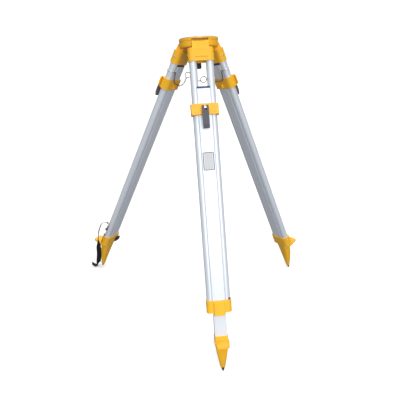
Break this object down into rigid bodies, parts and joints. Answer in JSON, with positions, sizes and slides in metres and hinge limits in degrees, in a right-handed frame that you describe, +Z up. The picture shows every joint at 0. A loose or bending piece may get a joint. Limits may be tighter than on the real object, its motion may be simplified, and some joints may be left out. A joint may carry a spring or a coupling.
{
  "type": "surveying tripod",
  "caption": "Light aluminium surveying tripod with a round head, three telescopic twin-rail legs with cam clamps, foot steps and steel points, a captive fixing screw, spreader chain and strap.",
  "frame": {"origin": "middle of the tripod's footprint box, on the floor that the three points stand on", "axes": "+Z up, +Y towards the back, with the front leg towards -Y and the head leaning back"},
  "size_m": [0.9488, 0.6768, 1.0234],
  "materials": {
    "yellow_paint": "satin powder coat on aluminium die castings",
    "anodised_aluminium": "matt anodised, drawn lengthwise",
    "steel": "bright zinc plate",
    "chain_steel": "dull dark wire",
    "black_steel": "blackened steel point",
    "black_plastic": "moulded, fine grain",
    "lever_plastic": "moulded, fine grain",
    "blue_plastic": "moulded, satin",
    "webbing": "woven polyester webbing"
  },
  "bodies": {
    "head": {"head_plate": "yellow_paint", "hinge_pin_front": "steel", "hinge_pin_right": "steel", "hinge_pin_left": "steel", "arm_pivot_bolt": "steel", "chain_ring_left": "chain_steel", "chain_ring_right": "chain_steel", "spreader_chain_left": "chain_steel", "spreader_chain_middle": "chain_steel", "spreader_chain_right": "chain_steel"},
    "swing_arm": {"screw_arm": "steel"},
    "bush": {"screw_bush": "steel"},
    "lift_washer": {"screw_washer": "steel"},
    "screw": {"fixing_screw": "steel", "screw_knob": "black_plastic"},
    "upper_leg_front": {"leg_block_front": "yellow_paint", "rail_a_front": "anodised_aluminium", "rail_b_front": "anodised_aluminium", "collar_front": "yellow_paint"},
    "lower_leg_front": {"inner_bar_front": "anodised_aluminium", "bar_cap_front": "blue_plastic", "clamp_body_front": "yellow_paint", "clamp_plate_front": "yellow_paint", "tension_bolt_front": "steel", "lever_pin_front": "steel", "shoe_front": "yellow_paint", "spike_front": "black_steel"},
    "lever_front": {"clamp_lever_front": "lever_plastic"},
    "upper_leg_right": {"leg_block_right": "yellow_paint", "rail_a_right": "anodised_aluminium", "rail_b_right": "anodised_aluminium", "collar_right": "yellow_paint", "rail_clip_right": "steel"},
    "lower_leg_right": {"inner_bar_right": "anodised_aluminium", "bar_cap_right": "blue_plastic", "clamp_body_right": "yellow_paint", "clamp_plate_right": "yellow_paint", "tension_bolt_right": "steel", "lever_pin_right": "steel", "shoe_right": "yellow_paint", "spike_right": "black_steel"},
    "lever_right": {"clamp_lever_right": "lever_plastic"},
    "upper_leg_left": {"leg_block_left": "yellow_paint", "rail_a_left": "anodised_aluminium", "rail_b_left": "anodised_aluminium", "collar_left": "yellow_paint", "rail_clip_left": "steel", "carrying_strap": "webbing", "strap_button": "blue_plastic", "strap_buckle": "black_plastic"},
    "lower_leg_left": {"inner_bar_left": "anodised_aluminium", "bar_cap_left": "blue_plastic", "clamp_body_left": "yellow_paint", "clamp_plate_left": "yellow_paint", "tension_bolt_left": "steel", "lever_pin_left": "steel", "shoe_left": "yellow_paint", "spike_left": "black_steel"},
    "lever_left": {"clamp_lever_left": "lever_plastic"}
  },
  "joints": [
    {"name": "hinge_front", "type": "hinge", "parent": "head", "child": "upper_leg_front", "pos_m": [0.01984, 0.2076, 0.99731], "axis": [-0.999, 0, -0.0454], "range_deg": [-12.17, 32.83]},
    {"name": "slide_front", "type": "slide", "parent": "upper_leg_front", "child": "lower_leg_front", "axis": [0.0397, -0.4843, -0.874], "range_m": [-0.082, 0.518]},
    {"name": "lever_front_cam", "type": "hinge", "parent": "lower_leg_front", "child": "lever_front", "pos_m": [0.02763, 0.07699, 0.82576], "axis": [-0.999, 0, -0.0454], "range_deg": [0, 120]},
    {"name": "hinge_right", "type": "hinge", "parent": "head", "child": "upper_leg_right", "pos_m": [0.06983, 0.28873, 0.97506], "axis": [0.4881, -0.8291, 0.2727], "range_deg": [-22.35, 22.65], "deforming": ["spreader_chain_right", "chain_ring_right"]},
    {"name": "slide_right", "type": "slide", "parent": "upper_leg_right", "child": "lower_leg_right", "axis": [0.3716, -0.0853, -0.9245], "range_m": [0, 0.6]},
    {"name": "lever_right_cam", "type": "hinge", "parent": "lower_leg_right", "child": "lever_right", "pos_m": [0.14326, 0.2947, 0.86178], "axis": [0.4881, -0.8291, 0.2727], "range_deg": [0, 120]},
    {"name": "hinge_left", "type": "hinge", "parent": "head", "child": "upper_leg_left", "pos_m": [-0.02793, 0.28873, 0.97062], "axis": [0.5108, 0.8291, -0.2274], "range_deg": [-30.12, 14.88], "deforming": ["spreader_chain_left", "chain_ring_left"]},
    {"name": "slide_left", "type": "slide", "parent": "upper_leg_left", "child": "lower_leg_left", "axis": [-0.3932, -0.0099, -0.9194], "range_m": [0, 0.6], "deforming": ["carrying_strap"]},
    {"name": "lever_left_cam", "type": "hinge", "parent": "lower_leg_left", "child": "lever_left", "pos_m": [-0.10341, 0.30482, 0.8597], "axis": [0.5108, 0.8291, -0.2274], "range_deg": [0, 120]},
    {"name": "arm_swing", "type": "hinge", "parent": "head", "child": "swing_arm", "pos_m": [0.02158, 0.30724, 0.95891], "axis": [-0.0434, 0.289, 0.9563], "range_deg": [-6, 28]},
    {"name": "bush_slide", "type": "slide", "parent": "swing_arm", "child": "bush", "axis": [-0.2088, -0.9387, 0.2742], "range_m": [-0.008, 0.008]},
    {"name": "screw_lift", "type": "slide", "parent": "bush", "child": "lift_washer", "axis": [-0.0434, 0.289, 0.9563], "range_m": [0, 0.012]},
    {"name": "screw_spin", "type": "hinge", "parent": "lift_washer", "child": "screw", "pos_m": [0.01146, 0.2559, 0.96142], "axis": [-0.0434, 0.289, 0.9563], "continuous": true}
  ]
}
